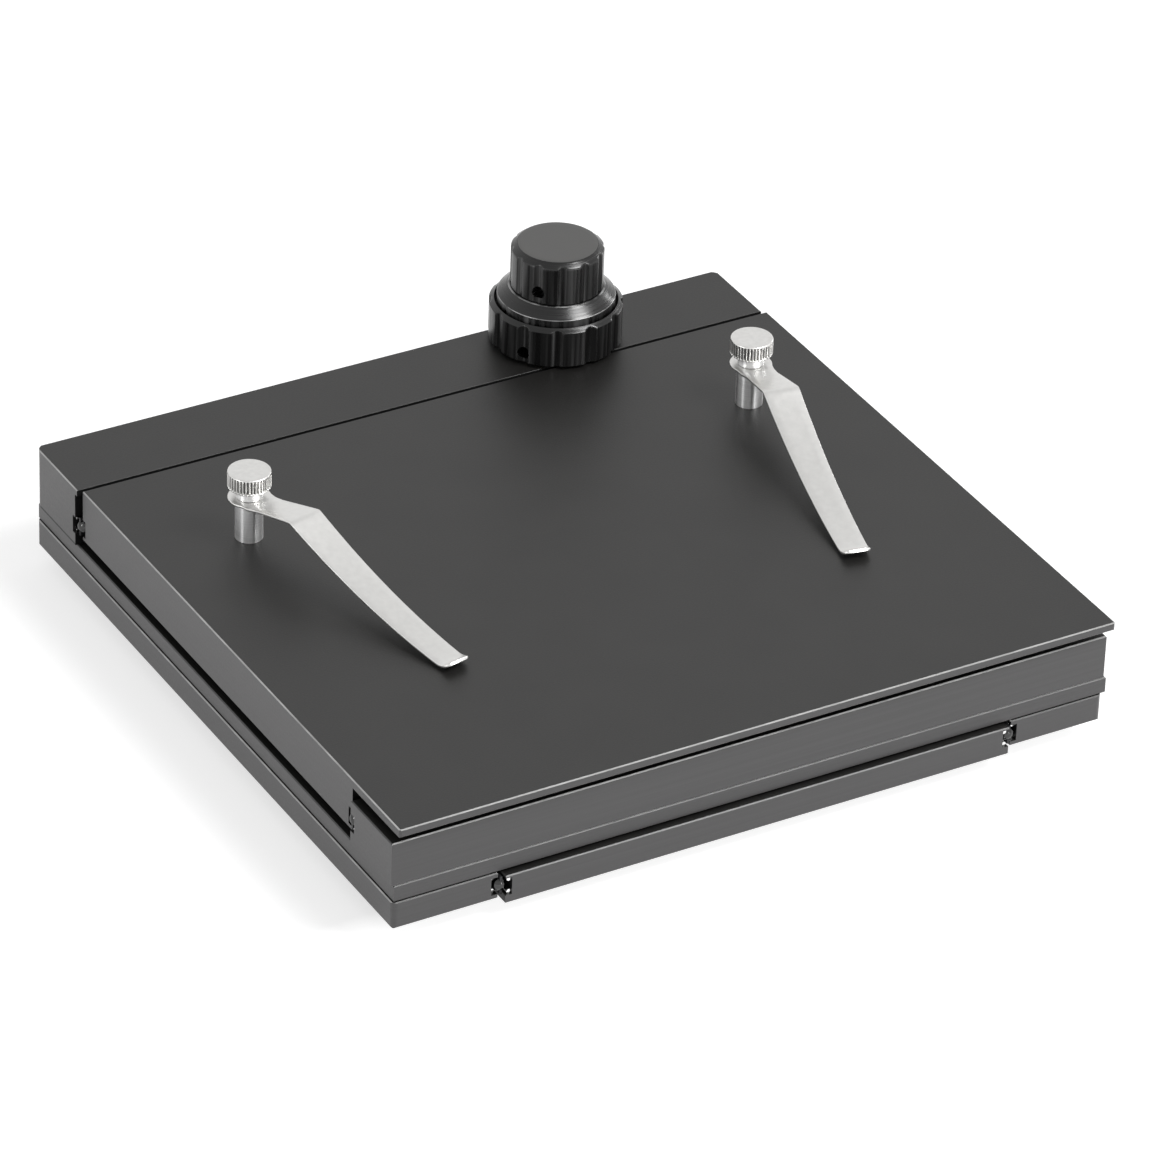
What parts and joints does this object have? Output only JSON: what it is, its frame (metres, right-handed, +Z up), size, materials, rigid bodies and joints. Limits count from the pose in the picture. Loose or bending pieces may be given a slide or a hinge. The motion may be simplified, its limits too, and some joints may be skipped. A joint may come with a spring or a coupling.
{
  "type": "mechanical microscope stage",
  "caption": "Flat two-axis microscope stage on crossed ball slides, with coaxial rack-and-pinion knobs on its rear block and swivelling spring clips on top.",
  "frame": {"origin": "centre of the locating disc's underside, which is under the middle of the stage slab when the carrier is half way along its travel", "axes": "+Z up, +Y to the rear where the knobs stand, +X to the right seen from the front"},
  "size_m": [0.181, 0.1801, 0.0567],
  "materials": {
    "black": "satin black anodised",
    "gloss": "glossy black anodised",
    "disc": "turned, grey anodised",
    "steel": "ground steel",
    "bright": "bright nickel-plated steel",
    "brass": "plain turned brass",
    "screw": "black oxide"
  },
  "bodies": {
    "base": {"locating_disc": "disc", "disc_screws": "screw", "base_block": "black", "base_race_wires": "bright", "y_rack": "steel", "y_rack_screws": "screw", "y_stop_screw": "screw"},
    "carrier": {"carrier_plate": "black", "left_rail": "black", "right_rail": "black", "rail_screws": "screw", "rail_race_wires": "bright", "front_bar": "black", "rear_block": "black", "bar_screws": "screw", "cross_race_wires": "bright", "upper_bushing": "brass", "lower_bushing": "brass", "plate_bushing": "brass", "x_stop_screw": "screw"},
    "stage": {"stage_slab": "black", "stage_race_wires": "bright", "x_rack": "steel", "x_rack_screws": "screw", "left_post": "bright", "right_post": "bright"},
    "left_ball_cage": {"left_cage": "screw", "left_balls": "bright"},
    "right_ball_cage": {"right_cage": "screw", "right_balls": "bright"},
    "front_ball_cage": {"front_cage": "screw", "front_balls": "bright"},
    "rear_ball_cage": {"rear_cage": "screw", "rear_balls": "bright"},
    "y_drive": {"inner_shaft": "steel", "y_pinion": "steel", "knob_skirt": "gloss", "upper_knob": "gloss", "upper_set_screw": "steel"},
    "x_drive": {"outer_shaft": "steel", "x_pinion": "steel", "lower_knob": "gloss", "lower_set_screw": "steel"},
    "left_clip": {"left_leaf": "bright"},
    "right_clip": {"right_leaf": "bright"},
    "left_thumb": {"left_thumb_screw": "bright"},
    "right_thumb": {"right_thumb_screw": "bright"}
  },
  "joints": [
    {"name": "y_slide", "type": "slide", "parent": "base", "child": "carrier", "axis": [0, 1, 0], "range_m": [-0.048, 0.007]},
    {"name": "x_slide", "type": "slide", "parent": "carrier", "child": "stage", "axis": [1, 0, 0], "range_m": [-0.0387, 0.0363]},
    {"name": "left_cage_slide", "type": "slide", "parent": "base", "child": "left_ball_cage", "axis": [0, 1, 0], "range_m": [-0.024, 0.0035]},
    {"name": "right_cage_slide", "type": "slide", "parent": "base", "child": "right_ball_cage", "axis": [0, 1, 0], "range_m": [-0.024, 0.0035]},
    {"name": "front_cage_slide", "type": "slide", "parent": "carrier", "child": "front_ball_cage", "axis": [1, 0, 0], "range_m": [-0.01935, 0.01815]},
    {"name": "rear_cage_slide", "type": "slide", "parent": "carrier", "child": "rear_ball_cage", "axis": [1, 0, 0], "range_m": [-0.01935, 0.01815]},
    {"name": "y_knob_turn", "type": "hinge", "parent": "carrier", "child": "y_drive", "pos_m": [0.0407, 0.10898, 0.0313], "axis": [0, 0, 1], "range_deg": [-84, 573.5]},
    {"name": "x_knob_turn", "type": "hinge", "parent": "carrier", "child": "x_drive", "pos_m": [0.0407, 0.10898, 0.0313], "axis": [0, 0, 1], "range_deg": [-370, 347]},
    {"name": "left_clip_swivel", "type": "hinge", "parent": "stage", "child": "left_clip", "pos_m": [-0.0639, 0.06263, 0.0413], "axis": [0, 0, 1], "range_deg": [-42.5, 37.5]},
    {"name": "right_clip_swivel", "type": "hinge", "parent": "stage", "child": "right_clip", "pos_m": [0.0663, 0.06263, 0.0413], "axis": [0, 0, 1], "range_deg": [-39.2, 40.8]},
    {"name": "left_thumb_turn", "type": "hinge", "parent": "stage", "child": "left_thumb", "pos_m": [-0.0639, 0.06263, 0.0413], "axis": [0, 0, 1], "range_deg": [-180, 180]},
    {"name": "right_thumb_turn", "type": "hinge", "parent": "stage", "child": "right_thumb", "pos_m": [0.0663, 0.06263, 0.0413], "axis": [0, 0, 1], "range_deg": [-180, 180]}
  ],
  "couplings": [
    {"joint": "left_cage_slide", "follows": "y_slide", "ratio": 0.5},
    {"joint": "right_cage_slide", "follows": "y_slide", "ratio": 0.5},
    {"joint": "front_cage_slide", "follows": "x_slide", "ratio": 0.5},
    {"joint": "rear_cage_slide", "follows": "x_slide", "ratio": 0.5},
    {"joint": "y_knob_turn", "follows": "y_slide", "rad_per_m": -208.33},
    {"joint": "x_knob_turn", "follows": "x_slide", "rad_per_m": 166.67}
  ]
}
